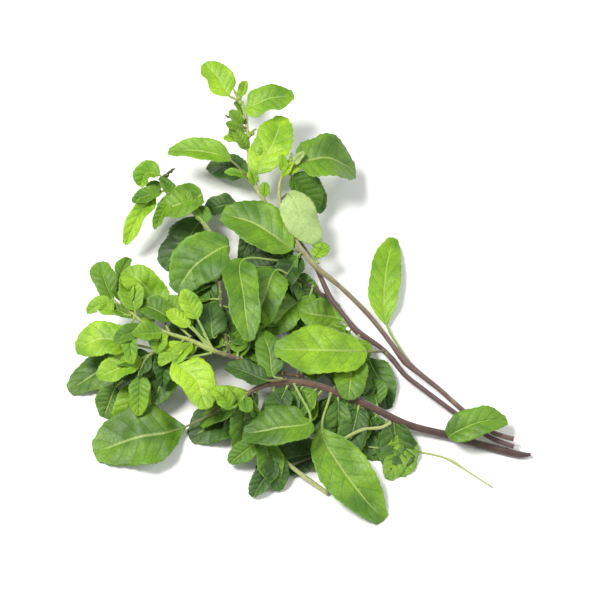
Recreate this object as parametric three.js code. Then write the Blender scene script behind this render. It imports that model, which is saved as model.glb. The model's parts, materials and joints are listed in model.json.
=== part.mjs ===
// A cut bunch of holy basil lying on a table: woody main stems, side shoots and leaves on
// their stalks. Millimetres, +Z up, the table at z = 0.
import * as THREE from 'three';

// Driving dimensions
const LEAN = 60; // degrees: the bunch is laid out on a plan that leans back from the table
const GAP = 0.45; // clearance kept between a leaf and what it lies on
const BASE_GAP = 0.3; // clearance between a stalk and the stem that bears it
const BLADE = 0.42; // half thickness of a leaf blade at its midrib
const STALK = 0.62; // radius of a leaf stalk
const STEEPEST = 1.1; // how fast a leaf may climb over what is under it, mm per mm
const FREE = 4.5; // length of stalk next to the stem that is not lifted
const CELL = 0.7; // size of a cell of the height field
const REACH = 160; // half extent of the height field

const COLOURS = {
  bright: { color: 0x8fc23a, roughness: 0.5 },
  mid: { color: 0x5f9a2c, roughness: 0.5 },
  dark: { color: 0x33641c, roughness: 0.55 },
  pale: { color: 0xa5c46f, roughness: 0.7 },
  bark: { color: 0x6b4a42, roughness: 0.75 },
  green: { color: 0xa9b968, roughness: 0.6 },
};

// Outline of a leaf: share of the blade length, share of the full half width
const OUTLINE = [
  [0.05, 0.42],
  [0.17, 0.82],
  [0.32, 0.99],
  [0.48, 1],
  [0.64, 0.94],
  [0.81, 0.74],
  [0.94, 0.4],
];
// Shares of the stalk length at which it has a ring
const STALK_ROWS = [0, 0.3, 0.65, 0.92];

// Main stems and shoots. Route points: across, up the plan, height of the axis, radius.
const STEMS = {
  stem_a: {
    slot: 'bark',
    route: [
      [106, -71, 7, 1.4], [95, -67.5, 7, 1.4], [80, -56, 6.5, 1.4], [70, -47, 7.5, 1.4],
      [60, -39, 8.5, 1.5], [53, -33, 9, 2.1], [46, -24, 10, 1.4], [35, -10, 11.5, 1.3],
      [20, 5, 14, 1.3], [9, 14, 16, 1.7], [0, 25, 17.5, 1.2], [-5, 34, 18.5, 1.1],
      [-8.5, 42.5, 20, 1], [-10.5, 52.5, 22, 0.95], [-9.5, 60, 24, 0.9], [-5, 67, 26, 0.9],
    ],
  },
  stem_b: {
    slot: 'bark',
    route: [
      [106, -74.8, 5, 1.4], [95, -70.5, 4.5, 1.4], [85, -64, 4, 1.4], [70, -53, 4.5, 1.4],
      [60, -45.5, 5, 1.4], [52.5, -39.5, 5, 1.4], [47, -32.5, 5.5, 1.5], [40, -25.5, 6.5, 1.4],
      [29, -18, 8, 1.8], [22.5, -10, 9, 1.3], [15.5, -1, 10, 1.6], [9, 13, 11, 1.2],
      [0, 27.5, 12.5, 1.1], [-7.5, 37.5, 14, 1], [-15, 45, 16, 1], [-19, 50, 17, 1],
      [-24, 59.5, 18.5, 1.3], [-26, 70, 20.5, 1], [-27, 82.5, 22.5, 0.9], [-28.5, 96, 25, 1],
      [-32.5, 104, 27, 0.8],
    ],
  },
  stem_c: {
    slot: 'bark',
    route: [
      [114.5, -78.7, 2.2, 0.9], [109.5, -78.8, 2.2, 1.8], [100, -76.5, 2.2, 2.1],
      [88, -73.5, 2.3, 2.1], [72.5, -69, 3.5, 2.1], [60, -66, 5, 2], [50, -62.5, 7, 2],
      [35, -55, 10, 2], [20, -49, 13, 1.9], [10, -45, 15, 1.8], [0, -43, 17, 1.8],
      [-15, -44, 19, 1.5], [-22.5, -46.5, 20, 1.3], [-29, -51, 20, 1.1],
    ],
  },
  shoot_d: {
    slot: 'green', on: 'stem_c', at: [46, -62],
    route: [[40, -65.5, 8, 0.9], [32.5, -66, 10, 0.9], [25, -69, 10.5, 0.9], [20, -72, 10.5, 0.8]],
  },
  shoot_e: {
    slot: 'bark', on: 'stem_c', at: [2, -43],
    route: [
      [-8, -38.5, 19, 1.1], [-19, -36, 21, 1.1], [-30, -31.5, 22, 1.1], [-41, -28, 23, 1.2],
      [-45, -26.5, 23.5, 1.6], [-55, -22, 25, 1.1], [-67.5, -18, 26, 1], [-80, -12, 27, 0.9],
      [-88, -4, 28, 0.8],
    ],
  },
  shoot_f: {
    slot: 'green', on: 'shoot_e', at: [-53, -23],
    route: [[-60, -25.5, 23, 0.9], [-70, -27, 22, 0.9], [-77, -32, 21, 0.9], [-80, -40, 19, 0.8]],
  },
  shoot_g: {
    slot: 'bark', on: 'shoot_e', at: [-36, -29.7],
    route: [
      [-37, -20, 20, 1], [-39, -10, 20, 1], [-40, 4, 19.5, 1], [-42, 20, 19.5, 1],
      [-46, 33, 20, 1.2], [-56, 44, 20.5, 0.9], [-66, 53, 22, 0.9], [-72, 60, 24, 0.8],
    ],
  },
  shoot_h: {
    slot: 'bark', on: 'stem_b', at: [14.5, 0],
    route: [[7.5, 4, 8, 0.9], [0, 8, 9, 0.9], [-5.5, 12, 11, 0.8], [-8, 18, 13, 0.8]],
  },
  twig_cut: {
    slot: 'green',
    route: [
      [14, -97.5, 1.3, 1.2], [0, -87.5, 4.5, 1.2], [-10, -79.5, 6.5, 1.1], [-16, -73, 8, 1.1],
      [-20, -66, 10, 0.9],
    ],
  },
  thread: {
    slot: 'green',
    route: [
      [34, -75, 3, 0.45], [40, -75.8, 1.5, 0.5], [55, -77, 0.6, 0.5], [70, -79.7, 0.6, 0.5],
      [76.5, -82.5, 0.9, 0.8], [82.5, -86.5, 0.6, 0.5], [95, -94.5, 0.6, 0.4],
    ],
  },
};

// Leaves that lie under the stems, the lowest first: name, colour, bearing stem, where the
// stalk leaves it (across, up), base and tip of the blade (across, up, height), width, rise of
// the margins per width, turn about the midrib in degrees, rise and sideways bow of the midrib.
const LOWER_LEAVES = [
  ['leaf_crown_under', 'dark', 'stem_b', [-23.5, 58], [-28, 62, 12], [-48, 68, 2], 15, 0.15, 0, 2, 1],
  ['leaf_left_oval', 'dark', 'shoot_g', [-44, 30], [-51, 38, 8], [-71, 15, -1], 22, 0.1, 0, 2, -2],
  ['leaf_mid_dark', 'dark', 'stem_b', [-17, 47], [-33, 47, 9], [-50, 43, 5], 13, 0.2, 0, 2, 0],
  ['leaf_low_back', 'mid', 'stem_c', [34, -55], [31, -58, 4], [15, -88, -1], 21, 0.12, 0, 2, 1],
  ['leaf_low_left', 'dark', 'twig_cut', [-4, -84], [10, -78, 1], [-21, -88, 0], 20, 0.05, 0, 0.5, 2],
  ['leaf_low_purple', 'dark', 'stem_c', [-24, -48], [-22, -59, 6], [-55, -71, -1], 24, 0.12, 0, 3, 2],
  ['leaf_far_left', 'mid', 'shoot_f', [-74, -30], [-82, -32, 6], [-116, -48, -1], 20, 0.12, 0, 2, 2],
  ['leaf_left_low', 'mid', 'shoot_f', [-79, -37], [-92, -46, 6], [-98, -61, -1], 14, 0.2, 0, 1, 0],
  ['leaf_left_light', 'bright', 'shoot_f', [-80, -39], [-80, -45, 9], [-88, -66, -1], 17, 0.2, 0, 2, 0],
  ['leaf_big_left', 'mid', 'stem_c', [-28.5, -50.5], [-59, -66, 4], [-102.5, -78, -1], 33, 0.08, 0, 2, 1],
  ['leaf_upright', 'bright', 'stem_a', [52, -32], [43.5, -13, 3], [48, 30, -1], 16, 0.22, 0, 3, -2],
  ['leaf_mid_low', 'mid', 'shoot_h', [-3, 10], [4, 2, 6], [-16, -20, 4], 20, 0.15, 0, 2, 1],
  ['leaf_behind', 'mid', 'stem_b', [26, -14.5], [21, -12, 3], [0, -8, 2], 18, 0.1, 0, 1, 0],
  ['leaf_low_inner', 'dark', 'stem_c', [26, -51.5], [22, -57, 5], [0, -64, 3], 17, 0.12, 0, 1, 0],
  ['leaf_side_low', 'mid', 'shoot_f', [-62, -26], [-64, -31, 15], [-73, -54, 7], 16, 0.2, 0, 2, 0],
  ['leaf_mid_back', 'dark', 'shoot_g', [-39.5, -6], [-44, -2, 11], [-63, -17, 8], 18, 0.12, 0, 2, 0],
  ['leaf_right_mid', 'dark', 'stem_b', [35, -22], [35, -32, 2.5], [44, -57, -1], 15, 0.15, 0, 2, -1],
];

// Leaves that lie on the stems, in the same terms
const UPPER_LEAVES = [
  ['leaf_mid_wide', 'mid', 'shoot_g', [-41, 14], [-36, 25, 20], [-63, 2, 14], 26, 0.1, 0, 1.5, 3],
  ['leaf_right_inner', 'mid', 'stem_b', [31, -19.5], [27, -31, 12], [24, -52, 14], 17, 0.15, 0, 2, 0],
  ['leaf_top_wide', 'mid', 'stem_b', [4, 21], [-4, 24, 15], [-40, 42, 20], 25, 0.15, 0, 3, 2],
  ['leaf_top_pale', 'pale', 'stem_a', [-10, 50], [-6, 52, 20], [10, 26, 8], 18, -0.2, 0, 2, 1],
  ['leaf_top_small', 'bright', 'stem_a', [7, 16], [8, 19, 16], [12, 27, 14], 8, 0.3, 0, 1, 1],
  ['leaf_inner_right', 'mid', 'shoot_h', [-5, 11.5], [-12, 13, 16], [-24, -18, 12], 20, 0.15, 0, 2, 0],
  ['leaf_trunk_a', 'mid', 'stem_c', [-10, -44], [-13, -40, 22], [-19, -18, 20], 14, 0.2, 0, 2, 1],
  ['leaf_trunk_b', 'dark', 'stem_c', [-8, -43.5], [-16, -42, 22], [-37, -35, 20], 12, 0.2, 0, 1, 0],
  ['leaf_crown_big', 'bright', 'stem_b', [-24, 59], [-22, 63, 20], [-9, 93, 24], 20, 0.12, 0, 3, 2],
  ['leaf_crown_left', 'bright', 'stem_b', [-24.5, 61], [-36, 70, 23], [-68, 74, 20], 13, 0.35, 0, 4, 1],
  ['leaf_crown_right', 'mid', 'stem_a', [-5.5, 65.5], [-1, 68, 27], [29, 64, 12], 27, 0.1, 0, 8, -1],
  ['leaf_tip_oval', 'bright', 'stem_b', [-32, 102.5], [-37, 104, 28], [-50, 121, 30], 15, 0.15, 0, 2, 1],
  ['leaf_tip_right', 'bright', 'stem_b', [-30, 99], [-28, 97, 27], [-3, 104, 30], 17, 0.15, 0, 3, 0],
  ['leaf_spike_a', 'mid', 'stem_b', [-27.5, 87], [-30, 88, 25], [-36, 96, 27], 6, 0.3, 0, 1, 0],
  ['leaf_spike_b', 'mid', 'stem_b', [-27, 80], [-29, 79, 23], [-36, 87, 26], 7, 0.3, 0, 1, 0],
  ['leaf_left_high', 'mid', 'shoot_g', [-58, 45.5], [-50, 52, 20], [-73, 44, 16], 17, 0.2, 0, 2, -2],
  ['leaf_left_curl', 'bright', 'shoot_g', [-70, 57], [-72, 62, 24], [-82, 56, 22], 12, 0.4, 0, 3, 3],
  ['leaf_left_long', 'bright', 'shoot_g', [-68, 55], [-74, 51, 20], [-89, 26, 12], 10, 0.4, 0, 3, 1],
  ['leaf_end_long', 'mid', 'shoot_e', [-86, -6], [-94, -1, 26], [-101, 17, 24], 12, 0.3, 0, 3, -1],
  ['leaf_end_hook', 'mid', 'shoot_e', [-87, -5], [-86, 3, 28], [-86, 19, 26], 8, 0.4, 0, 3, -3],
  ['leaf_end_wide', 'bright', 'shoot_e', [-66, -18.5], [-70, -8, 24], [-88, 13, 24], 18, 0.15, 0, 3, 2],
  ['leaf_end_loop', 'bright', 'shoot_e', [-84, -8.5], [-93, -9, 26], [-107, -8, 20], 9, 0.4, 0, 3, 3],
  ['leaf_side_mid', 'mid', 'shoot_e', [-56, -21.5], [-64, -12, 27], [-80, -4, 26], 13, 0.25, 0, 2, 0],
  ['leaf_left_bright', 'bright', 'shoot_f', [-72, -27.8], [-84, -24, 24], [-112, -27, 16], 20, 0.15, 0, 3, 3],
  ['leaf_left_tongue', 'bright', 'shoot_e', [-82, -10.5], [-84, -14, 28], [-83, -34, 26], 9, 0.3, 0, 2, 1],
  ['leaf_mid_long', 'mid', 'shoot_h', [-8, 18], [-29, 18, 22], [-25, -23, 24], 18, 0.2, 0, 3, 1],
  ['leaf_front_left', 'bright', 'shoot_e', [-44, -27], [-60, -33, 26], [-46, -56, 24], 18, 0.15, 0, 3, -3],
  ['leaf_front_small', 'bright', 'stem_c', [-28.6, -50.8], [-33, -55, 24], [-43, -46, 26], 9, 0.3, 0, 2, 0],
  ['leaf_front_low', 'mid', 'stem_c', [-3, -43], [5, -62, 22], [-28, -68, 16], 21, 0.2, 0, 4, -2],
  ['leaf_front_big', 'bright', 'stem_b', [42, -28], [33, -28, 16], [-13, -27, 22], 27, 0.08, 0, 3, -1],
  ['leaf_drop_big', 'mid', 'stem_c', [16, -48], [11, -67, 12], [41, -111, -1], 24, 0.12, 0, 3, 3],
  ['leaf_mid_spot', 'dark', 'shoot_g', [-37, -16], [-43, -21, 22], [-46, -4, 20], 15, 0.2, 0, 2, 0],
  ['leaf_wrap', 'mid', 'stem_c', [80, -71.5], [74, -70, 8], [103, -62, 8], 16, 0.3, 0, 4, -1],
];

const lean = THREE.MathUtils.degToRad(LEAN);
// Upward direction of the table, seen from the leaning plan
const tableNormal = new THREE.Vector3(0, Math.cos(lean), Math.sin(lean));
const side = Math.ceil((2 * REACH) / CELL);
// Depth of the highest surface laid so far, cell by cell over the plan
const laid = new Float64Array(side * side).fill(-Infinity);

// A point of the leaning plan at a height above the table; its z is the depth off the plan
function place(across, up, height) {
  return new THREE.Vector3(across, up, (height - up * Math.cos(lean)) / Math.sin(lean));
}

function tableDepth(up) {
  return place(0, up, 0).z;
}

function cellOf(point, dx = 0, dy = 0) {
  const column = Math.floor((point.x + REACH) / CELL) + dx;
  const row = Math.floor((point.y + REACH) / CELL) + dy;
  return row * side + column;
}

// Cross section of eight points: margin, three above, margin, three below
function ring(centre, tangent, normal, half, thick, rise) {
  const across = new THREE.Vector3().crossVectors(tangent, normal).normalize();
  const above = new THREE.Vector3().crossVectors(across, tangent).normalize();
  const share = [-1, -0.55, 0, 0.55, 1, 0.55, 0, -0.55];
  const upper = [0, 0.8, 1, 0.8, 0, -0.8, -1, -0.8];
  return share.map((s, k) => centre.clone()
    .addScaledVector(across, s * half)
    .addScaledVector(above, upper[k] * thick + rise * half * Math.abs(s)));
}

// Closed skin over a row of rings, with a point at each end
function skin(rings, foot, tip) {
  const points = [...rings.flat(), foot, tip];
  const index = [];
  const footIndex = points.length - 2;
  const last = rings.length - 1;
  for (let i = 0; i < last; i += 1) {
    for (let k = 0; k < 8; k += 1) {
      const a = i * 8 + k;
      const b = i * 8 + ((k + 1) % 8);
      index.push(a, b, b + 8, a, b + 8, a + 8);
    }
  }
  for (let k = 0; k < 8; k += 1) {
    const next = (k + 1) % 8;
    index.push(footIndex, next, k);
    index.push(last * 8 + k, last * 8 + next, footIndex + 1);
  }
  const geometry = new THREE.BufferGeometry();
  geometry.setAttribute('position', new THREE.Float32BufferAttribute(
    points.flatMap((p) => p.toArray()), 3));
  geometry.setIndex(index);
  return geometry;
}

// Points spread over the skin between one ring and the next
function spread(from, to) {
  const points = [];
  for (let k = 0; k < 8; k += 1) {
    const next = (k + 1) % 8;
    const steps = Math.ceil(Math.max(from[k].distanceTo(to[k]), from[k].distanceTo(from[next]),
      to[k].distanceTo(to[next])) / (0.6 * CELL)) + 1;
    for (let i = 0; i <= steps; i += 1) {
      const start = from[k].clone().lerp(to[k], i / steps);
      const end = from[next].clone().lerp(to[next], i / steps);
      for (let j = 0; j <= steps; j += 1) points.push(start.clone().lerp(end, j / steps));
    }
  }
  return points;
}

// Records the skin as something later leaves have to lie on
function lay(rings) {
  for (let i = 0; i + 1 < rings.length; i += 1) {
    for (const point of spread(rings[i], rings[i + 1])) {
      for (let n = 0; n < 9; n += 1) {
        const cell = cellOf(point, (n % 3) - 1, Math.floor(n / 3) - 1);
        laid[cell] = Math.max(laid[cell], point.z);
      }
    }
  }
}

// How far the skin between two rings has to rise to clear the table and what is laid
function shortfall(from, to, foot) {
  let need = 0;
  for (const point of spread(from, to)) {
    const near = Math.hypot(point.x - foot.x, point.y - foot.y) < FREE;
    const under = near ? -Infinity : laid[cellOf(point)] + GAP;
    need = Math.max(need, Math.max(tableDepth(point.y), under) - point.z);
  }
  return need;
}

// Lifts a leaf ring by ring until it lies on what is under it; its foot stays where it is
function settle(rings, centres) {
  const needs = rings.slice(1).map((to, i) => shortfall(rings[i], to, centres[0]));
  const lifts = rings.map((_, i) => Math.max(needs[i - 1] ?? 0, needs[i] ?? 0));
  const along = [0];
  for (let i = 1; i < centres.length; i += 1) {
    along.push(along[i - 1] + centres[i].distanceTo(centres[i - 1]));
  }
  const eased = along.map((s) => Math.max(...lifts.map((lift, j) =>
    lift - STEEPEST * Math.abs(s - along[j]))));
  eased.forEach((lift, i) => {
    const share = Math.min(1, along[i] / FREE);
    rings[i].forEach((point) => point.setZ(point.z + lift * share));
  });
}

// Finely sampled axes of the stems, by name
const routes = {};

// The sample of a stem's axis nearest to a place on the plan
function nearestOn(name, across, up) {
  let best = null;
  for (const sample of routes[name]) {
    const distance = Math.hypot(sample.centre.x - across, sample.centre.y - up);
    if (!best || distance < best.distance) best = { ...sample, distance };
  }
  return best;
}

// Where a stalk or shoot starts on the surface of the stem that bears it
function footOn(name, at, toward, radius) {
  const { centre, tangent, radius: stem } = nearestOn(name, ...at);
  const heading = toward.clone().sub(centre).normalize();
  const slant = Math.abs(heading.dot(tangent));
  const out = heading.clone().addScaledVector(tangent, -heading.dot(tangent)).normalize();
  return centre.clone().addScaledVector(out, stem + BASE_GAP + radius * (0.15 + slant));
}

// A stem or shoot: eight-sided rings along its route, and the solid over them
function tube(name, { on, at, route }) {
  const points = route.map(([across, up, height]) => place(across, up, height));
  const radii = route.map((point) => point[3]);
  if (on) {
    points.unshift(footOn(on, at, points[0], radii[0]));
    radii.unshift(radii[0]);
  }
  const curve = new THREE.CatmullRomCurve3(points, false, 'centripetal');
  const count = (points.length - 1) * 2;
  const sample = (t) => {
    const reach = t * (points.length - 1);
    const i = Math.min(Math.floor(reach), points.length - 2);
    const radius = THREE.MathUtils.lerp(radii[i], radii[i + 1], reach - i);
    return { centre: curve.getPoint(t), tangent: curve.getTangent(t), radius };
  };
  routes[name] = Array.from({ length: count * 8 + 1 }, (_, i) => sample(i / (count * 8)));
  const rings = Array.from({ length: count + 1 }, (_, i) => {
    const { centre, tangent, radius } = sample(i / count);
    return roundRing(centre, tangent, radius);
  });
  const geometry = skin(rings, domed(points[0], curve.getTangent(0), -0.2),
    domed(points[points.length - 1], curve.getTangent(1), 0.2));
  return { rings, geometry };
}

// End point a little beyond the last ring, which closes it with a low cone
function domed(centre, tangent, out) {
  return centre.clone().addScaledVector(tangent, out);
}

function roundRing(centre, tangent, radius) {
  const across = new THREE.Vector3().crossVectors(tangent, tableNormal).normalize();
  const above = new THREE.Vector3().crossVectors(across, tangent).normalize();
  return Array.from({ length: 8 }, (_, k) => {
    const angle = Math.PI - (k * Math.PI) / 4;
    return centre.clone()
      .addScaledVector(across, radius * Math.cos(angle))
      .addScaledVector(above, radius * Math.sin(angle));
  });
}

// A leaf: round stalk, then a blade that is thickest at the midrib, settled on what is below
function leaf([, , on, at, from, to, wide, fold, roll, arch, bend]) {
  const base = place(...from);
  const tip = place(...to);
  const foot = footOn(on, at, base, STALK);
  const heading = tip.clone().sub(base).normalize();
  const sideways = new THREE.Vector3().crossVectors(heading, tableNormal).normalize();
  const middle = base.clone().lerp(tip, 0.5)
    .addScaledVector(tableNormal, arch)
    .addScaledVector(sideways, bend);
  const curve = new THREE.CatmullRomCurve3([foot, base, middle, tip], false, 'centripetal');
  const facing = tableNormal.clone().applyAxisAngle(heading, THREE.MathUtils.degToRad(roll));
  const stalk = STALK_ROWS.map((share) => share / 3);
  const blade = OUTLINE.map(([share]) => (1 + 2 * share) / 3);
  const centres = [...stalk, ...blade].map((t) => curve.getPoint(t));
  const rings = centres.map((centre, i) => {
    const tangent = curve.getTangent(i < stalk.length ? stalk[i] : blade[i - stalk.length]);
    if (i < stalk.length) return roundRing(centre, tangent, STALK);
    const width = OUTLINE[i - stalk.length][1];
    return ring(centre, tangent, facing, (width * wide) / 2, BLADE * (0.5 + 0.5 * width), fold);
  });
  const point = Array.from({ length: 8 }, () => tip.clone());
  settle([...rings, point], [...centres, tip]);
  lay([...rings, point]);
  return skin(rings, domed(foot, curve.getTangent(0), -0.12), point[0]);
}

function meshOf(name, slot, geometry) {
  const material = new THREE.MeshStandardMaterial({ ...COLOURS[slot], metalness: 0 });
  material.name = slot;
  const mesh = new THREE.Mesh(geometry, material);
  mesh.name = name;
  return mesh;
}

const bunch = new THREE.Group();
const stems = Object.entries(STEMS).map(([name, stem]) => [name, stem.slot, tube(name, stem)]);
for (const row of LOWER_LEAVES) bunch.add(meshOf(row[0], row[1], leaf(row)));
for (const [name, slot, { rings, geometry }] of stems) {
  lay(rings);
  bunch.add(meshOf(name, slot, geometry));
}
for (const row of UPPER_LEAVES) bunch.add(meshOf(row[0], row[1], leaf(row)));

// Stand the plan on the table and centre the bunch over the origin
for (const mesh of bunch.children) mesh.geometry.rotateX(Math.PI / 2 - lean);
const box = new THREE.Box3().setFromObject(bunch);
const centre = box.getCenter(new THREE.Vector3());
for (const mesh of bunch.children) mesh.geometry.translate(-centre.x, -centre.y, -box.min.z);

export default bunch;
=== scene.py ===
"""Looks of a cut bunch of holy basil: veined leaves on stalks, ribbed stems, buds, floor and light."""
import json
import math
import random

import bmesh
import bpy
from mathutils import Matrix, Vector, noise


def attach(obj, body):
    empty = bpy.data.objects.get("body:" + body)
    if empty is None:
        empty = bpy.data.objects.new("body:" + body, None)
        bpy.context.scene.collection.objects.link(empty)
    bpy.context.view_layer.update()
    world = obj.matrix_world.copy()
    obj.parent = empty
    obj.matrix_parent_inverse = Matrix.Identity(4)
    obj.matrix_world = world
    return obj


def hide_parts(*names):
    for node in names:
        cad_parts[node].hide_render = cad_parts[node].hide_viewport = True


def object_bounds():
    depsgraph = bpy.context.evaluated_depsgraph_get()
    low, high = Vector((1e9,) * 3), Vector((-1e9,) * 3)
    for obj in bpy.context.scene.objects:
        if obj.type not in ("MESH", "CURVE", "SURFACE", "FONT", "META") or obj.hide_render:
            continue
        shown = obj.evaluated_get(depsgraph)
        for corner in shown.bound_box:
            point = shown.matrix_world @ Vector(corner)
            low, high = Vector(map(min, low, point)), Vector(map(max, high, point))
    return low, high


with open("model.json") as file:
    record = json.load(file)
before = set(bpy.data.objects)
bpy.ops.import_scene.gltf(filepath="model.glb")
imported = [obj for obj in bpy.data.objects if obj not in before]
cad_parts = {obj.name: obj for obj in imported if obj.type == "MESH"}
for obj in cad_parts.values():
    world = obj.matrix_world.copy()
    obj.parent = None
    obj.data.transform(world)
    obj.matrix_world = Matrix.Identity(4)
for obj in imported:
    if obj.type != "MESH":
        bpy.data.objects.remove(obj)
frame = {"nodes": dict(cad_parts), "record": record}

MM = 0.001
CAD_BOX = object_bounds()
UP = Vector((0, 0, 1))
ROWS = 44  # rows along a blade
COLS = 21  # columns across a blade
BLADE = 0.32 * MM  # thickness of a blade
TEETH = 11  # teeth on each margin
SPOTS = (-1.0, -0.55, 0.0, 0.55, 1.0)  # where the CAD sections have points, across the blade


# ---------------------------------------------------------------- reading the CAD nodes
def rings_of(node):
    """Rings of eight points of a CAD skin, from one end point to the other."""
    bm = bmesh.new()
    bm.from_mesh(node.data)
    bmesh.ops.remove_doubles(bm, verts=bm.verts, dist=2e-6)
    bm.verts.ensure_lookup_table()
    beside = {v.index: {e.other_vert(v).index for e in v.link_edges} for v in bm.verts}
    place = [v.co.copy() for v in bm.verts]
    bm.free()
    last = None
    for end in (i for i in beside if len(beside[i]) == 8):
        levels = spread_from(end, beside)
        if all(len(level) == 8 for level in levels[1:-1]) and len(levels[-1]) == 1:
            last = (end, levels)
            if is_foot(levels, place, node.name.startswith("leaf")):
                break
    end, levels = last
    order = ring_order(sorted(levels[1]), beside)
    centre, beyond = (sum((place[i] for i in level), Vector()) / 8 for level in levels[1:3])
    turn = (place[order[0]] - centre).cross(place[order[1]] - centre)
    forward = is_foot(levels, place, node.name.startswith("leaf"))
    if (turn.dot(beyond - centre) < 0) == forward:
        order.reverse()
    rings = [order]
    for level in levels[2:-1]:
        here = set(level)
        rings.append([min(beside[rings[-1][k]] & beside[rings[-1][k - 1]] & here) for k in range(8)])
    return [[place[i] for i in ring] for ring in rings], place[end], place[levels[-1][0]]


def spread_from(end, beside):
    """Points of the skin by how many edges they are away from an end point."""
    levels, seen = [[end]], {end}
    while True:
        nxt = sorted({j for i in levels[-1] for j in beside[i]} - seen)
        if not nxt:
            return levels
        levels.append(nxt)
        seen.update(nxt)


def is_foot(levels, place, leaf):
    """True where the skin starts at the stalk of a leaf, or at the cut end of a stem, on the +X side."""
    def reach(level):
        mid = sum((place[i] for i in level), Vector()) / len(level)
        return max((place[i] - mid).length for i in level)
    if leaf:
        return reach(levels[2]) < reach(levels[-3])
    return place[levels[0][0]].x > place[levels[-1][0]].x


def ring_order(ring, beside):
    order = [ring[0]]
    while len(order) < 8:
        order.append(next(i for i in ring if i in beside[order[-1]] and i not in order))
    return order


def spine(values, t):
    """A smooth curve through equally spaced values, t from 0 to 1."""
    x = t * (len(values) - 1)
    i = min(int(x), len(values) - 2)
    f = x - i
    b, c = values[i], values[i + 1]
    a = values[i - 1] if i else b + (b - c)
    d = values[i + 2] if i + 2 < len(values) else c + (c - b)
    return (b * 2 + (c - a) * f + (a * 2 - b * 5 + c * 4 - d) * f * f
            + (b * 3 - a - c * 3 + d) * f * f * f) * 0.5


def at_spot(points, s):
    """Point across a section of five, s from -1 to 1."""
    for k in range(4):
        if s <= SPOTS[k + 1] or k == 3:
            f = (s - SPOTS[k]) / (SPOTS[k + 1] - SPOTS[k])
            b, c = points[k], points[k + 1]
            return b.lerp(c, f)


def leaf_sections(node):
    """Stalk centres and five-point blade sections of a CAD leaf, and its tip."""
    rings, foot, tip = rings_of(node)
    stalk = [sum(ring, Vector()) / 8 for ring in rings[:4]]
    blades = rings[4:]
    wide = blades[len(blades) // 2]
    k = max(range(4), key=lambda i: (wide[i] - wide[i + 4]).length)
    along = tip - foot
    across = wide[k + 4] - wide[k]
    if across.cross(along).dot(UP) < 0:
        k += 4
    sections = []
    for ring in blades:
        p = [ring[(k + i) % 8] for i in range(8)]
        sections.append([p[0], (p[1] + p[7]) / 2, (p[2] + p[6]) / 2, (p[3] + p[5]) / 2, p[4]])
    return [foot] + stalk, sections, tip


# ---------------------------------------------------------------- building
def blade_grid(start, sections, tip, rng, ruffle, cup):
    """Grid of the blade's middle surface with its veins, teeth and ripples, and the share along the blade of each
    row.
    """
    side = (sections[0][4] - sections[0][0]).normalized() * 0.55 * MM
    rows = [[start - side, start - side * 0.5, start, start + side * 0.5, start + side]]
    rows += sections
    rows.append([tip.copy() for _ in range(5)])
    share = [0.0, 0.05, 0.17, 0.32, 0.48, 0.64, 0.81, 0.94, 1.0]
    phase = [rng.uniform(0, 6.28) for _ in range(4)]
    waves = rng.uniform(1.6, 2.6)
    curl = [rng.uniform(-1.0, 1.6) * ruffle * 3.2 for _ in range(2)]
    grid = []
    for i in range(ROWS + 1):
        f = i / ROWS
        f = f * f * (3 - 2 * f) * 0.35 + f * 0.65
        j = max(k for k in range(len(share) - 1) if share[k] <= f)
        t = (j + (f - share[j]) / (share[j + 1] - share[j])) / (len(share) - 1)
        five = [spine([row[c] for row in rows], t) for c in range(5)]
        five = rounded_end(five, f)
        line = []
        for c in range(COLS):
            s = 2 * c / (COLS - 1) - 1
            tooth = ((f * TEETH + (0.3 if s > 0 else 0)) % 1.0)
            edge = abs(s) ** 6
            p = at_spot(five, s)
            ragged = 0.16 * noise.noise(Vector((f * 3.2 + phase[2], 7.0 if s > 0 else 0.0, phase[3])))
            p = p + (p - five[2]) * (edge * 0.065 * (tooth - 0.45) + a_power(s, 2) * ragged)
            line.append((p, f, s))
        grid.append(line)
    normals = grid_normals([[p for p, _, _ in line] for line in grid])
    out = []
    for i, line in enumerate(grid):
        row = []
        for c, (p, f, s) in enumerate(line):
            n = normals[i][c]
            a = abs(s)
            body = math.sin(math.pi * min(1, f * 1.02)) ** 0.5 if 0 < f < 0.98 else 0
            vein = (f * 6.5 - a * 1.35) % 1.0
            quilt = math.sin(math.pi * vein) ** 0.8 * math.sin(math.pi * min(a * 1.02, 1)) ** 0.6
            lift = 0.55 * MM * quilt * body - 0.35 * MM * math.exp(-(s / 0.09) ** 2) * body
            turn = phase[0] if s > 0 else phase[1]
            lift += ruffle * a ** 2.2 * math.sin(waves * 6.28 * f + turn) * body
            lift += cup * (a * a - 0.3) * body
            lift += curl[0 if s < 0 else 1] * max(0.0, a - 0.45) ** 1.6 * math.sin(math.pi * min(1, f * 0.8 + 0.2)) * body
            lift += ruffle * 1.6 * math.sin(2.6 * f + phase[3]) * f * body
            lift += ruffle * 0.9 * noise.noise(p * 90 + Vector((phase[2], phase[3], 0))) * body
            row.append(above_table(p + n * lift, 0.35))
        out.append(row)
    return out, [line[0][1] for line in grid]


def a_power(s, power):
    return abs(s) ** power


def rounded_end(five, f):
    """Pulls the last part of the blade to a blunt point."""
    if f < 0.94:
        return five
    k = math.sqrt(max(0.0, 1 - ((f - 0.94) / 0.06) ** 2))
    flat = max(0.02, 1 - (f - 0.94) / 0.06)
    return [five[2] + (p - five[2]) * (k / flat if flat > 0.1 else 1) for p in five]


def above_table(point, clear):
    point.z = max(point.z, clear * MM)
    return point


def grid_normals(points):
    rows, cols = len(points), len(points[0])
    out = []
    for i in range(rows):
        line = []
        for c in range(cols):
            a = points[min(i + 1, rows - 1)][c] - points[max(i - 1, 0)][c]
            b = points[i][min(c + 1, cols - 1)] - points[i][max(c - 1, 0)]
            n = b.cross(a)
            line.append(n.normalized() if n.length > 1e-12 else Vector((0, 0, 1)))
        out.append(line)
    return out


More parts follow.
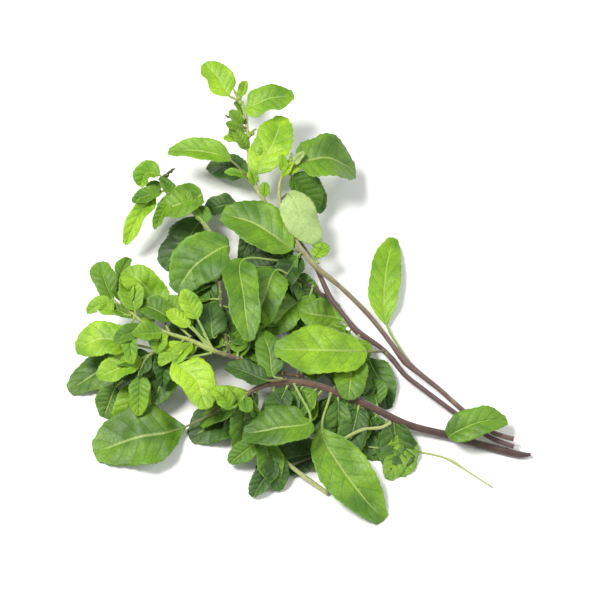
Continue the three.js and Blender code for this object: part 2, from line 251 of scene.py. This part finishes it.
def add_blade(bm, uv, grid, marks_v, thick):
    """Closed skin over the grid: upper faces use material 0, lower ones 1."""
    rows, cols = len(grid), len(grid[0])
    normals = grid_normals(grid)
    if normals[rows // 2][cols // 2].z < 0:
        normals = [[-n for n in line] for line in normals]
    top, low = [], []
    for i in range(rows):
        thin = [1 - 0.75 * abs(2 * c / (cols - 1) - 1) ** 4 for c in range(cols)]
        top.append([bm.verts.new(grid[i][c] + normals[i][c] * thick * 0.5 * thin[c]) for c in range(cols)])
        low.append([bm.verts.new(grid[i][c] - normals[i][c] * thick * 0.5 * thin[c]) for c in range(cols)])

    def face(four, marks, index):
        f = bm.faces.new(four)
        f.smooth = True
        f.material_index = index
        for loop, mark in zip(f.loops, marks):
            loop[uv].uv = mark

    for i in range(rows - 1):
        for c in range(cols - 1):
            u0, u1, v0, v1 = c / (cols - 1), (c + 1) / (cols - 1), marks_v[i], marks_v[i + 1]
            m = [(u0, v0), (u1, v0), (u1, v1), (u0, v1)]
            face([top[i][c], top[i][c + 1], top[i + 1][c + 1], top[i + 1][c]], m, 0)
            face([low[i + 1][c], low[i + 1][c + 1], low[i][c + 1], low[i][c]], m[::-1], 1)
    for c, u, flip in ((0, 0.0, False), (cols - 1, 1.0, True)):
        for i in range(rows - 1):
            four = [top[i][c], top[i + 1][c], low[i + 1][c], low[i][c]]
            face(four[::-1] if flip else four, [(u, marks_v[i])] * 4, 0)
    for i, v, flip in ((0, 0.0, True), (rows - 1, 1.0, False)):
        for c in range(cols - 1):
            four = [top[i][c], top[i][c + 1], low[i][c + 1], low[i][c]]
            face(four[::-1] if flip else four, [(c / (cols - 1), v)] * 4, 0)


def add_tube(bm, uv, centres, radii, sides, index, section=None):
    """Closed tube along the centres, with flat ends."""
    count = len(centres)
    rings = []
    side = None
    for i, centre in enumerate(centres):
        t = (centres[min(i + 1, count - 1)] - centres[max(i - 1, 0)]).normalized()
        if side is None:
            side = t.cross(UP).normalized() if abs(t.z) < 0.98 else t.cross(Vector((1, 0, 0))).normalized()
        side = (side - t * side.dot(t)).normalized()
        up = side.cross(t)
        ring = []
        for k in range(sides):
            angle = 2 * math.pi * k / sides
            r = radii[i] * (section(angle, i / (count - 1)) if section else 1)
            ring.append(bm.verts.new(centre + side * (r * math.cos(angle)) + up * (r * math.sin(angle))))
        rings.append(ring)

    def face(points, marks, smooth=True):
        f = bm.faces.new(points)
        f.smooth = smooth
        f.material_index = index
        for loop, mark in zip(f.loops, marks):
            loop[uv].uv = mark

    for i in range(count - 1):
        v0, v1 = i / (count - 1), (i + 1) / (count - 1)
        for k in range(sides):
            n = (k + 1) % sides
            face([rings[i][n], rings[i][k], rings[i + 1][k], rings[i + 1][n]],
                 [((k + 1) / sides, v0), (k / sides, v0), (k / sides, v1), ((k + 1) / sides, v1)])
    face(rings[0], [(0.5, 0.0)] * sides, False)
    face(rings[-1][::-1], [(0.5, 1.0)] * sides, False)


def finish_mesh(name, bm, materials, body, node=None):
    bmesh.ops.recalc_face_normals(bm, faces=bm.faces)
    mesh = bpy.data.meshes.new(name)
    bm.to_mesh(mesh)
    bm.free()
    for material in materials:
        mesh.materials.append(material)
    obj = bpy.data.objects.new(name, mesh)
    bpy.context.scene.collection.objects.link(obj)
    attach(obj, body)
    if node:
        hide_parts(node)
    return obj


def build_leaf(name, stalk, sections, tip, looks, rng, node=None, ruffle=1.0, cup=0.0):
    bm = bmesh.new()
    uv = bm.loops.layers.uv.new("UVMap")
    start = stalk[-1]
    grid, marks_v = blade_grid(start, sections, tip, rng, ruffle * MM, cup * MM)
    add_blade(bm, uv, grid, marks_v, BLADE)
    back = (stalk[0] - stalk[1]).normalized() * 0.9 * MM
    line = [stalk[0] + back] + [spine(stalk, i / 9) for i in range(10)]
    middle = COLS // 2
    below = UP * -0.12 * MM
    keel = [grid[i][middle] + below for i in range(2, int(ROWS * 0.8), 3)]
    radii = [0.95 * MM, 0.8 * MM] + [0.62 * MM] * 8 + [0.55 * MM]
    shrink = [0.42 * MM * (1 - i / len(keel)) + 0.1 * MM for i in range(len(keel))]
    add_tube(bm, uv, [above_table(p, 0.75) for p in line + keel], radii + shrink, 8, 2)
    return finish_mesh(name, bm, looks, "root", node)


# ---------------------------------------------------------------- materials
def srgb(r, g, b):
    def lin(c):
        c /= 255
        return c / 12.92 if c <= 0.04045 else ((c + 0.055) / 1.055) ** 2.4
    return (lin(r), lin(g), lin(b), 1.0)


class Tree:
    """Short names for building one material's nodes."""

    def __init__(self, name):
        self.material = bpy.data.materials.new(name)
        self.material.use_nodes = True
        self.nodes = self.material.node_tree.nodes
        self.links = self.material.node_tree.links
        self.shader = self.nodes["Principled BSDF"]

    def put(self, socket, value):
        if isinstance(value, bpy.types.NodeSocket):
            self.links.new(value, socket)
        else:
            socket.default_value = value

    def math(self, op, a, b=0.0, clamp=False):
        node = self.nodes.new("ShaderNodeMath")
        node.operation = op
        node.use_clamp = clamp
        self.put(node.inputs[0], a)
        self.put(node.inputs[1], b)
        return node.outputs[0]

    def mix(self, factor, a, b):
        node = self.nodes.new("ShaderNodeMix")
        node.data_type = "RGBA"
        self.put(node.inputs[0], factor)
        self.put(node.inputs[6], a)
        self.put(node.inputs[7], b)
        return node.outputs[2]

    def noise(self, vector, scale, detail=2.0):
        node = self.nodes.new("ShaderNodeTexNoise")
        self.put(node.inputs["Vector"], vector)
        node.inputs["Scale"].default_value = scale
        node.inputs["Detail"].default_value = detail
        return node.outputs["Fac"]

    def cells(self, vector, scale, feature="DISTANCE_TO_EDGE"):
        node = self.nodes.new("ShaderNodeTexVoronoi")
        node.feature = feature
        self.put(node.inputs["Vector"], vector)
        node.inputs["Scale"].default_value = scale
        return node.outputs["Distance"]

    def ramp(self, factor, low, high):
        """0 at low, 1 at high."""
        node = self.nodes.new("ShaderNodeMapRange")
        node.interpolation_type = "SMOOTHSTEP"
        self.put(node.inputs[0], factor)
        node.inputs[1].default_value = low
        node.inputs[2].default_value = high
        return node.outputs[0]

    def bump(self, height, strength, distance):
        node = self.nodes.new("ShaderNodeBump")
        node.inputs["Strength"].default_value = strength
        node.inputs["Distance"].default_value = distance
        self.put(node.inputs["Height"], height)
        self.put(self.shader.inputs["Normal"], node.outputs[0])

    def coords(self):
        node = self.nodes.new("ShaderNodeTexCoord")
        split = self.nodes.new("ShaderNodeSeparateXYZ")
        self.links.new(node.outputs["UV"], split.inputs[0])
        return node.outputs["Object"], node.outputs["UV"], split.outputs[0], split.outputs[1]

    def stretched(self, u, v, x, y):
        node = self.nodes.new("ShaderNodeCombineXYZ")
        self.put(node.inputs[0], self.math("MULTIPLY", u, x))
        self.put(node.inputs[1], self.math("MULTIPLY", v, y))
        return node.outputs[0]

    def surface(self, colour, roughness, sheen=0.0):
        self.put(self.shader.inputs["Base Color"], colour)
        self.put(self.shader.inputs["Roughness"], roughness)
        self.shader.inputs["Sheen Weight"].default_value = sheen
        self.shader.inputs["Sheen Roughness"].default_value = 0.5


def leaf_look(name, deep, light, rib, roughness=0.52, veins=1.0, matte=False):
    t = Tree(name)
    place, _, u, v = t.coords()
    a = t.math("MULTIPLY", t.math("ABSOLUTE", t.math("SUBTRACT", u, 0.5)), 2.0)
    phase = t.math("FRACT", t.math("ADD", t.math("SUBTRACT", t.math("MULTIPLY", v, 6.5),
                                                 t.math("MULTIPLY", a, 1.35)), 4.0))
    off = t.math("MINIMUM", phase, t.math("SUBTRACT", 1.0, phase))
    side = t.math("SUBTRACT", 1.0, t.ramp(off, 0.015, 0.085))
    side = t.math("MULTIPLY", side, t.math("SUBTRACT", 1.0, t.ramp(a, 0.55, 1.0)))
    middle = t.math("SUBTRACT", 1.0, t.ramp(a, 0.015, 0.06))
    middle = t.math("MULTIPLY", middle, t.math("SUBTRACT", 1.0, t.ramp(v, 0.7, 1.0)))
    net = t.math("SUBTRACT", 1.0, t.ramp(t.cells(t.stretched(u, v, 1.0, 1.9), 9.0), 0.0, 0.12))
    cloud = t.noise(place, 75.0, 4.0)
    broad = t.noise(place, 26.0, 2.0)
    tone = t.ramp(t.math("ADD", t.math("MULTIPLY", cloud, 0.6), t.math("MULTIPLY", broad, 0.5)), 0.38, 0.72)
    colour = t.mix(tone, deep, light)
    # Painted shade: the net of cell edges and the sunken side veins are painted darker, as shade lying in the vein
    # furrows
    furrow_shade = srgb(*(c * 0.72 for c in unlin(deep)))
    colour = t.mix(t.math("MULTIPLY", net, 0.28 * veins), colour, furrow_shade)
    colour = t.mix(t.math("MULTIPLY", side, 0.24 * veins), colour, rib if matte else furrow_shade)
    colour = t.mix(t.math("MULTIPLY", middle, 0.45 * veins), colour, rib)
    rim = t.math("MULTIPLY", t.ramp(a, 0.93, 1.0), 0.35)
    colour = t.mix(rim, colour, light)
    specks = t.math("MULTIPLY", t.ramp(t.noise(place, 420.0, 1.0), 0.74, 0.8), t.ramp(broad, 0.55, 0.62))
    colour = t.mix(specks, colour, srgb(58, 48, 22))
    fine = t.noise(place, 900.0, 2.0)
    t.surface(colour, t.math("ADD", t.math("MULTIPLY", fine, 0.12), roughness - 0.06), 0.015)
    swell = t.math("SUBTRACT", t.math("MULTIPLY", fine, 0.25), t.math("MULTIPLY", net, 0.22))
    swell = t.math("SUBTRACT", swell, t.math("MULTIPLY", side, 0.6))
    t.bump(swell if not matte else t.math("MULTIPLY", swell, -1.0), 0.55, 0.0004)
    t.shader.inputs["Subsurface Weight"].default_value = 0.12
    t.shader.inputs["Subsurface Radius"].default_value = (0.4, 1.0, 0.15)
    t.shader.inputs["Subsurface Scale"].default_value = 0.0015
    return t.material


def unlin(colour):
    return [255 * (c * 12.92 if c <= 0.0031308 else 1.055 * c ** (1 / 2.4) - 0.055) for c in colour[:3]]


def stem_look(name, base, top, low=0.25, high=0.85, roughness=0.6):
    """Colour runs from base to top along the stem, with long dark streaks."""
    t = Tree(name)
    place, _, u, v = t.coords()
    streak = t.noise(t.stretched(u, v, 9.0, 26.0), 1.6, 4.0)
    cloud = t.noise(place, 160.0, 3.0)
    blend = t.ramp(t.math("ADD", v, t.math("MULTIPLY", t.math("SUBTRACT", cloud, 0.5), 0.35)), low, high)
    colour = t.mix(blend, base, top)
    dark = srgb(*(c * 0.55 for c in unlin(base)))
    colour = t.mix(t.math("MULTIPLY", t.ramp(streak, 0.45, 0.7), 0.55), colour, dark)
    colour = t.mix(t.math("MULTIPLY", t.ramp(cloud, 0.6, 0.75), 0.3), colour, top)
    t.surface(colour, t.math("ADD", t.math("MULTIPLY", cloud, 0.25), roughness - 0.12), 0.25)
    t.bump(t.math("ADD", streak, t.math("MULTIPLY", cloud, 0.5)), 0.5, 0.0004)
    return t.material


def cut_look(name, pith, rim):
    t = Tree(name)
    place = t.coords()[0]
    grain = t.noise(place, 700.0, 3.0)
    t.surface(t.mix(t.ramp(grain, 0.35, 0.65), pith, rim), 0.85)
    t.bump(grain, 0.6, 0.0003)
    return t.material


PALE_RIB = srgb(190, 205, 120)
# Lit and shaded copies of one leaf green, for upper and under sides: "dark" is painted shade deep in the bunch,
# "bright" is painted light on leaves facing the lamp together with the real paler young tips, "mid" lies between
UPPER = {
    "bright": [leaf_look("leaf_bright_a", srgb(98, 146, 16), srgb(158, 196, 36), PALE_RIB),
               leaf_look("leaf_bright_b", srgb(88, 134, 14), srgb(138, 180, 30), PALE_RIB)],
    "mid": [leaf_look("leaf_mid_a", srgb(56, 96, 9), srgb(104, 146, 20), PALE_RIB),
            leaf_look("leaf_mid_b", srgb(66, 110, 11), srgb(116, 158, 22), PALE_RIB)],
    "dark": [leaf_look("leaf_painted_shade_a", srgb(28, 58, 8), srgb(64, 104, 14), srgb(140, 165, 90)),
             leaf_look("leaf_painted_shade_b", srgb(36, 72, 10), srgb(78, 120, 18), srgb(140, 165, 90))],
    "pale": [leaf_look("leaf_pale_a", srgb(132, 160, 88), srgb(166, 190, 118), PALE_RIB, 0.65, 0.8, True)],
}
LOWER = {
    "bright": leaf_look("under_bright", srgb(122, 160, 74), srgb(150, 186, 98), PALE_RIB, 0.68, 0.8, True),
    "mid": leaf_look("under_mid", srgb(96, 134, 62), srgb(128, 164, 84), PALE_RIB, 0.68, 0.8, True),
    "dark": leaf_look("under_painted_shade", srgb(72, 100, 50), srgb(98, 128, 70), PALE_RIB, 0.7, 0.8, True),
    "pale": leaf_look("under_pale", srgb(110, 150, 60), srgb(140, 180, 80), PALE_RIB, 0.6, 0.8),
}
STALK = stem_look("stalk", srgb(150, 172, 84), srgb(132, 168, 66), 0.1, 0.6)
STALK_DARK = stem_look("stalk_dark", srgb(112, 104, 70), srgb(120, 142, 66), 0.2, 0.7)
CUT = cut_look("cut_end", srgb(196, 186, 140), srgb(92, 72, 58))
STEM = {
    "stem_a": stem_look("stem_a", srgb(104, 78, 74), srgb(166, 170, 106), 0.35, 0.85),
    "stem_b": stem_look("stem_b", srgb(92, 68, 66), srgb(172, 178, 112), 0.5, 0.85),
    "stem_c": stem_look("stem_c", srgb(78, 54, 50), srgb(118, 92, 68), 0.3, 0.95),
    "shoot_e": stem_look("shoot_e", srgb(98, 72, 60), srgb(160, 178, 92), 0.3, 0.55),
    "shoot_g": stem_look("shoot_g", srgb(92, 84, 52), srgb(140, 160, 80), 0.2, 0.7),
    "shoot_h": stem_look("shoot_h", srgb(74, 52, 46), srgb(96, 82, 58), 0.2, 0.9),
}
GREEN_STEM = stem_look("stem_green", srgb(176, 184, 116), srgb(158, 180, 92), 0.2, 0.9)
BUD = leaf_look("bud", srgb(104, 128, 44), srgb(148, 172, 72), PALE_RIB, 0.6, 0.3)
BUD_DARK = leaf_look("bud_dark", srgb(62, 66, 34), srgb(96, 104, 50), PALE_RIB, 0.6, 0.3)


# ---------------------------------------------------------------- leaves and stems of the CAD
nodes = frame["nodes"]
slots = {row["node"]: row["material_slot"] for row in frame["record"]["subparts"]}
routes = {}


def ribbed(angle, share):
    return 1 + 0.07 * math.cos(4 * angle) + 0.02 * math.cos(9 * angle + 14 * share)


def build_stem(name):
    rings, foot, tip = rings_of(nodes[name])
    centres = [sum(ring, Vector()) / 8 for ring in rings]
    radii = [sum((p - c).length for p in ring) / 8 for ring, c in zip(rings, centres)]
    count = len(centres) * 4
    fine = [spine(centres, i / count) for i in range(count + 1)]
    width = [spine(radii, i / count) * (0.9 + 0.05 * noise.noise(Vector((i * 0.37, len(name), 0))))
             for i in range(count + 1)]
    routes[name] = (fine, width)
    bm = bmesh.new()
    uv = bm.loops.layers.uv.new("UVMap")
    add_tube(bm, uv, fine, width, 20, 0, ribbed)
    bm.faces.ensure_lookup_table()
    for f in list(bm.faces)[-2:]:
        f.material_index = 1
    look = STEM.get(name, GREEN_STEM)
    finish_mesh(name + "_look", bm, [look, CUT], "root", name)


def on_stem(name, share):
    line, width = routes[name]
    i = min(int(share * (len(line) - 1)), len(line) - 2)
    return line[i], (line[i + 1] - line[i]).normalized(), width[i]


for name in sorted(nodes):
    if not name.startswith("leaf"):
        build_stem(name)
for number, name in enumerate(sorted(nodes)):
    if name.startswith("leaf"):
        rng = random.Random(100 + number)
        # the slot picks a lit, half-shaded or shaded copy of the leaf green: painted light and shade
        kind = slots[name]
        looks = [rng.choice(UPPER[kind]), LOWER[kind], STALK if rng.random() < 0.8 else STALK_DARK]
        stalk, sections, tip = leaf_sections(nodes[name])
        wide = max((row[4] - row[0]).length for row in sections) / MM
        build_leaf(name + "_look", stalk, sections, tip, looks, rng, name,
                   ruffle=0.03 * wide + 0.25, cup=rng.uniform(-0.8, 0.8))


# ---------------------------------------------------------------- small leaves and buds
def free_leaf(name, foot, ahead, stalk, length, width, kind, rng, droop=0.0, fold=0.25):
    """A leaf that is too small or too hidden for the CAD, growing from a foot point."""
    flat = ahead.cross(UP).normalized()
    above = flat.cross(ahead).normalized()
    bend = rng.uniform(-0.12, 0.12) * length
    def along(d):
        share = d / (stalk + length)
        drop = UP * (-droop * share * share * (stalk + length))
        return foot + ahead * d + flat * (bend * share * share) + drop
    line = [along(stalk * i / 3) for i in range(4)]
    sections = []
    for share, part in ((0.05, 0.42), (0.17, 0.82), (0.32, 0.99), (0.48, 1), (0.64, 0.94), (0.81, 0.74), (0.94, 0.4)):
        centre, half = along(stalk + length * share), width * part / 2
        sections.append([centre + flat * (-s * half) + above * (fold * abs(s) * half) for s in SPOTS[::-1]])
    for point in [p for row in sections for p in row] + line:
        point.z = max(point.z, 0.8 * MM)
    tip = along(stalk + length)
    tip.z = max(tip.z, 0.6 * MM)
    looks = [rng.choice(UPPER[kind]), LOWER[kind], STALK]
    return build_leaf(name, line, sections, tip, looks, rng, None,
                      ruffle=0.035 * width / MM + 0.15, cup=rng.uniform(-0.5, 0.8))


def heading(compass, rise):
    a, r = math.radians(compass), math.radians(rise)
    return Vector((math.cos(a) * math.cos(r), math.sin(a) * math.cos(r), math.sin(r)))


# stem, from and to as shares of its length, leaves, compass range, rise range, blade length and
# width in mm, colours, stalk as a share of the blade length
TUFTS = [
    ("stem_b", 0.74, 0.99, 9, (60, 200), (-5, 45), (9, 14), (5, 7), ("bright", "mid"), (0.08, 0.25)),
    ("stem_b", 0.58, 0.72, 5, (150, 260), (-30, 5), (18, 26), (11, 15), ("dark", "mid"), (0.08, 0.25)),
    ("stem_a", 0.93, 1.0, 5, (-40, 140), (0, 55), (7, 12), (4, 6), ("bright", "pale"), (0.08, 0.25)),
    ("stem_a", 0.66, 0.8, 3, (120, 220), (-40, -10), (14, 20), (9, 12), ("mid", "dark"), (0.08, 0.25)),
    ("shoot_g", 0.05, 0.5, 9, (100, 300), (-45, -5), (20, 28), (13, 17), ("dark", "mid", "dark"), (0.08, 0.25)),
    ("shoot_g", 0.05, 0.45, 5, (-40, 60), (-45, -15), (20, 28), (13, 17), ("dark", "mid"), (0.08, 0.25)),
    ("shoot_g", 0.6, 1.0, 8, (60, 250), (-25, 35), (10, 18), (6, 10), ("bright", "mid"), (0.08, 0.25)),
    ("shoot_h", 0.2, 1.0, 6, (150, 300), (-40, -5), (18, 26), (12, 16), ("dark", "mid"), (0.08, 0.25)),
    ("shoot_e", 0.02, 0.45, 7, (60, 140), (-40, -8), (18, 26), (11, 15), ("dark", "mid"), (0.08, 0.25)),
    ("shoot_e", 0.6, 1.0, 13, (70, 260), (-25, 30), (12, 22), (7, 12), ("bright", "mid", "bright"), (0.08, 0.25)),
    ("shoot_f", 0.2, 1.0, 10, (150, 290), (-35, 0), (16, 24), (10, 14), ("mid", "bright", "dark"), (0.08, 0.25)),
    ("stem_c", 0.42, 0.62, 7, (215, 290), (-40, -10), (20, 28), (12, 17), ("dark", "mid", "dark"), (0.08, 0.25)),
    ("stem_c", 0.62, 0.97, 10, (190, 280), (-35, -5), (18, 28), (11, 16), ("dark", "mid"), (0.08, 0.25)),
    ("stem_c", 0.96, 1.0, 6, (150, 300), (-10, 30), (9, 15), (5, 8), ("bright", "bright", "mid"), (0.08, 0.25)),
    ("stem_c", 0.5, 0.75, 4, (60, 130), (-30, -10), (16, 24), (10, 14), ("dark", "mid"), (0.08, 0.25)),
    ("twig_cut", 0.5, 1.0, 4, (150, 330), (-15, 0), (16, 22), (10, 14), ("dark", "mid"), (0.08, 0.25)),
    ("stem_a", 0.97, 1.0, 2, (-50, -15), (-40, -22), (20, 24), (14, 16), ("mid", "dark"), (0.08, 0.25)),
    ("stem_b", 0.36, 0.46, 3, (190, 260), (-25, -10), (16, 22), (10, 13), ("dark", "mid"), (0.08, 0.25)),
    ("shoot_e", 0.47, 0.56, 5, (112, 172), (5, 22), (13, 19), (9, 12), ("mid", "bright"), (0.9, 1.4)),
    # dark leaves that fill the shaded hollow between stem_c and the lower leaves: painted shade
    ("stem_c", 0.44, 0.64, 8, (235, 280), (-60, -25), (20, 28), (13, 18), ("dark", "dark"), (0.05, 0.1)),
    ("shoot_h", 0.3, 1.0, 5, (250, 330), (-50, -20), (16, 24), (11, 15), ("dark", "mid"), (0.05, 0.2)),
]


def grow_tufts():
    rng = random.Random(7)
    for row, (stem, low, high, count, compass, rise, long, wide, kinds, stalk) in enumerate(TUFTS):
        for i in range(count):
            share = low + (high - low) * (i + rng.random()) / count
            foot, _, _ = on_stem(stem, share)
            ahead = heading(rng.uniform(*compass), rng.uniform(*rise))
            length = rng.uniform(*long) * MM
            free_leaf(f"small_leaf_{row:02d}_{i:02d}", foot, ahead, length * rng.uniform(*stalk), length,
                      rng.uniform(*wide) * MM, rng.choice(kinds), rng, rng.uniform(0, 0.35), rng.uniform(0.1, 0.5))


# stem, share of its length, compass, rise, length in mm, buds, dark or not
SPIKES = [
    ("stem_b", 0.93, 165, 8, 11, 9, True),
    ("stem_b", 0.97, 120, 20, 9, 10, False),
    ("stem_b", 0.9, 40, 30, 6, 7, False),
    ("stem_a", 1.0, 75, 35, 7, 8, False),
    ("shoot_g", 1.0, 35, 18, 9, 9, True),
    ("shoot_e", 1.0, 120, 20, 7, 8, False),
    ("stem_c", 1.0, 235, -8, 8, 8, False),
]


def bud_spike(name, stem, share, compass, rise, length, buds, dark):
    """A thin axis with small rounded buds in whorls, getting smaller to the end."""
    rng = random.Random(name)
    foot, _, _ = on_stem(stem, share)
    ahead = heading(compass, rise)
    bm = bmesh.new()
    uv = bm.loops.layers.uv.new("UVMap")
    line = [foot + ahead * (length * MM * i / 8) + UP * (0.4 * MM * math.sin(i * 0.6)) for i in range(9)]
    add_tube(bm, uv, line, [0.4 * MM * (1 - i / 12) for i in range(9)], 8, 1)
    for i in range(buds):
        part = (i + 1) / buds
        turn = i * 2.4
        out = Vector((math.cos(turn), math.sin(turn), 0.3)).cross(ahead).normalized()
        size = (1.15 - 0.6 * part) * MM * rng.uniform(0.85, 1.15)
        centre = foot + ahead * (length * MM * part) + out * size * 0.8
        made = bmesh.ops.create_icosphere(bm, subdivisions=2, radius=size)["verts"]
        for v in made:
            v.co = centre + v.co + ahead * (v.co.dot(ahead) * 0.5)
            for f in v.link_faces:
                f.smooth = True
    finish_mesh(name, bm, [BUD_DARK if dark else BUD, STALK], "root")


grow_tufts()
for number, row in enumerate(SPIKES):
    bud_spike(f"bud_spike_{number}", *row)


# ---------------------------------------------------------------- floor, light, camera
def area(name, place, size, power, colour):
    data = bpy.data.lights.new(name, "AREA")
    data.shape = "DISK"
    data.size = size
    data.energy = power
    data.color = colour
    obj = bpy.data.objects.new(name, data)
    bpy.context.scene.collection.objects.link(obj)
    obj.location = place
    obj.rotation_euler = (-Vector(place)).to_track_quat("-Z", "Y").to_euler()


def stage():
    mesh = bpy.data.meshes.new("floor")
    mesh.from_pydata([(-3, -3, 0), (3, -3, 0), (3, 3, 0), (-3, 3, 0)], [], [(0, 1, 2, 3)])
    floor = bpy.data.objects.new("floor", mesh)
    bpy.context.scene.collection.objects.link(floor)
    t = Tree("floor")
    place = t.coords()[0]
    t.surface(t.mix(t.noise(place, 3.0), srgb(246, 246, 245), srgb(250, 250, 249)), 0.9)
    mesh.materials.append(t.material)
    area("key", (-0.8, 0.1, 1.5), 0.7, 34.0, (1.0, 0.98, 0.95))
    area("fill", (1.1, -0.2, 1.0), 1.2, 9.0, (0.95, 0.98, 1.0))
    world = bpy.data.worlds.new("studio")
    world.use_nodes = True
    world.node_tree.nodes["Background"].inputs[0].default_value = (1.0, 1.0, 1.0, 1.0)
    world.node_tree.nodes["Background"].inputs[1].default_value = 0.42
    bpy.context.scene.world = world


def camera():
    data = bpy.data.cameras.new("camera")
    data.lens = 200
    data.sensor_width = 36
    obj = bpy.data.objects.new("camera", data)
    bpy.context.scene.collection.objects.link(obj)
    tilt = math.radians(60)
    ahead = Vector((0, math.cos(tilt), -math.sin(tilt)))
    above = Vector((0, math.sin(tilt), math.cos(tilt)))
    low, high = CAD_BOX
    aim = Vector(((low.x + high.x) / 2 + 0.0009, (low.y + high.y) / 2 + 0.0025, low.z)) - above * 0.0018
    obj.location = aim - ahead * 1.7
    obj.rotation_euler = ahead.to_track_quat("-Z", "Y").to_euler()
    bpy.context.scene.camera = obj


stage()
camera()
bpy.context.scene.view_settings.view_transform = "Standard"
